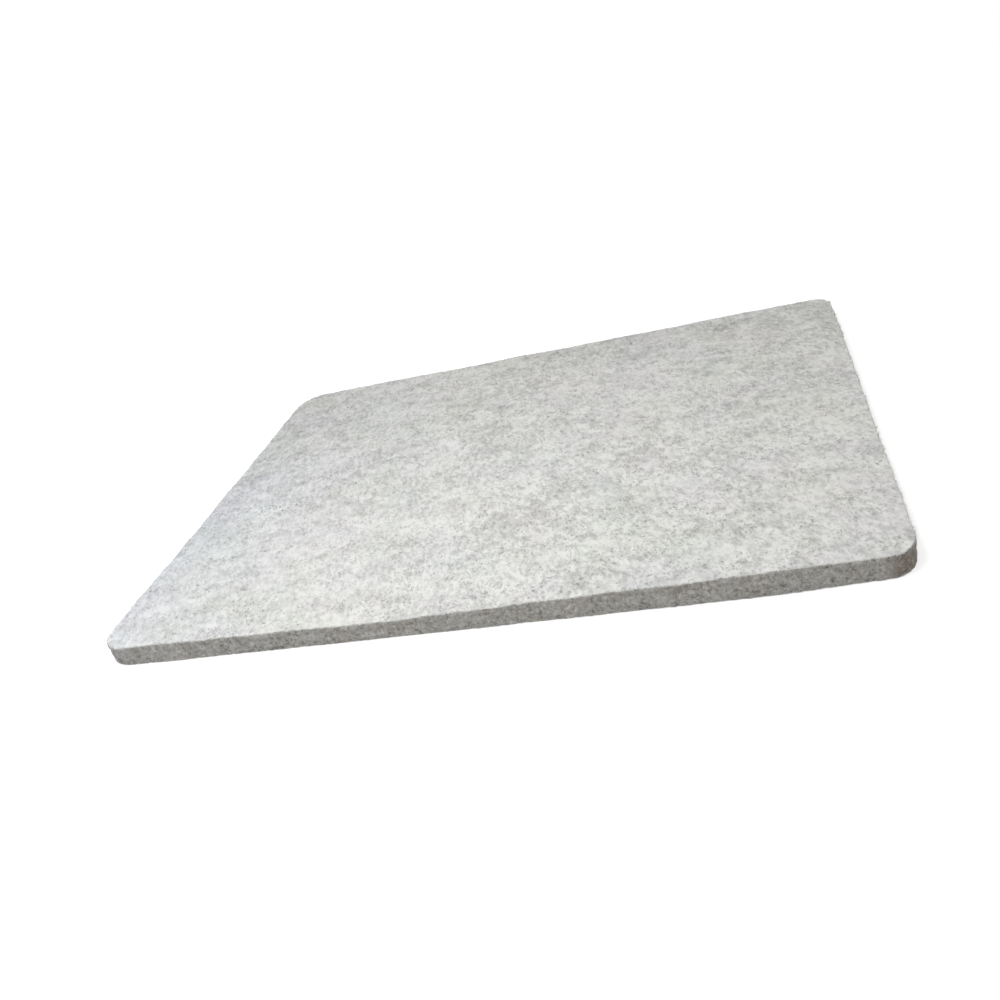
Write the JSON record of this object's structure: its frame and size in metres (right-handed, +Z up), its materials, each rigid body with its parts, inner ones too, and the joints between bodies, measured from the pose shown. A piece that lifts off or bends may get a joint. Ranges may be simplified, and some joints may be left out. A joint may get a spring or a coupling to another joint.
{
  "type": "ironing pad",
  "caption": "Thick rectangular wool felt mat with rounded corners and a raw cut edge, laid on a table to iron or press cloth on.",
  "frame": {"origin": "middle of the underside, the flat face that lies on the table", "axes": "+X along the long side, +Y along the short side away from the viewer, +Z up out of the working face"},
  "size_m": [0.4318, 0.343, 0.0127],
  "materials": {
    "face_felt": "matt heather-grey wool felt, pressed flat, with a short pale fuzz",
    "core_felt": "matt warm grey wool felt, cut raw, with open fibre ends"
  },
  "bodies": {
    "root": {"back_ply": "face_felt", "core_ply": "core_felt", "face_ply": "face_felt"}
  },
  "joints": []
}
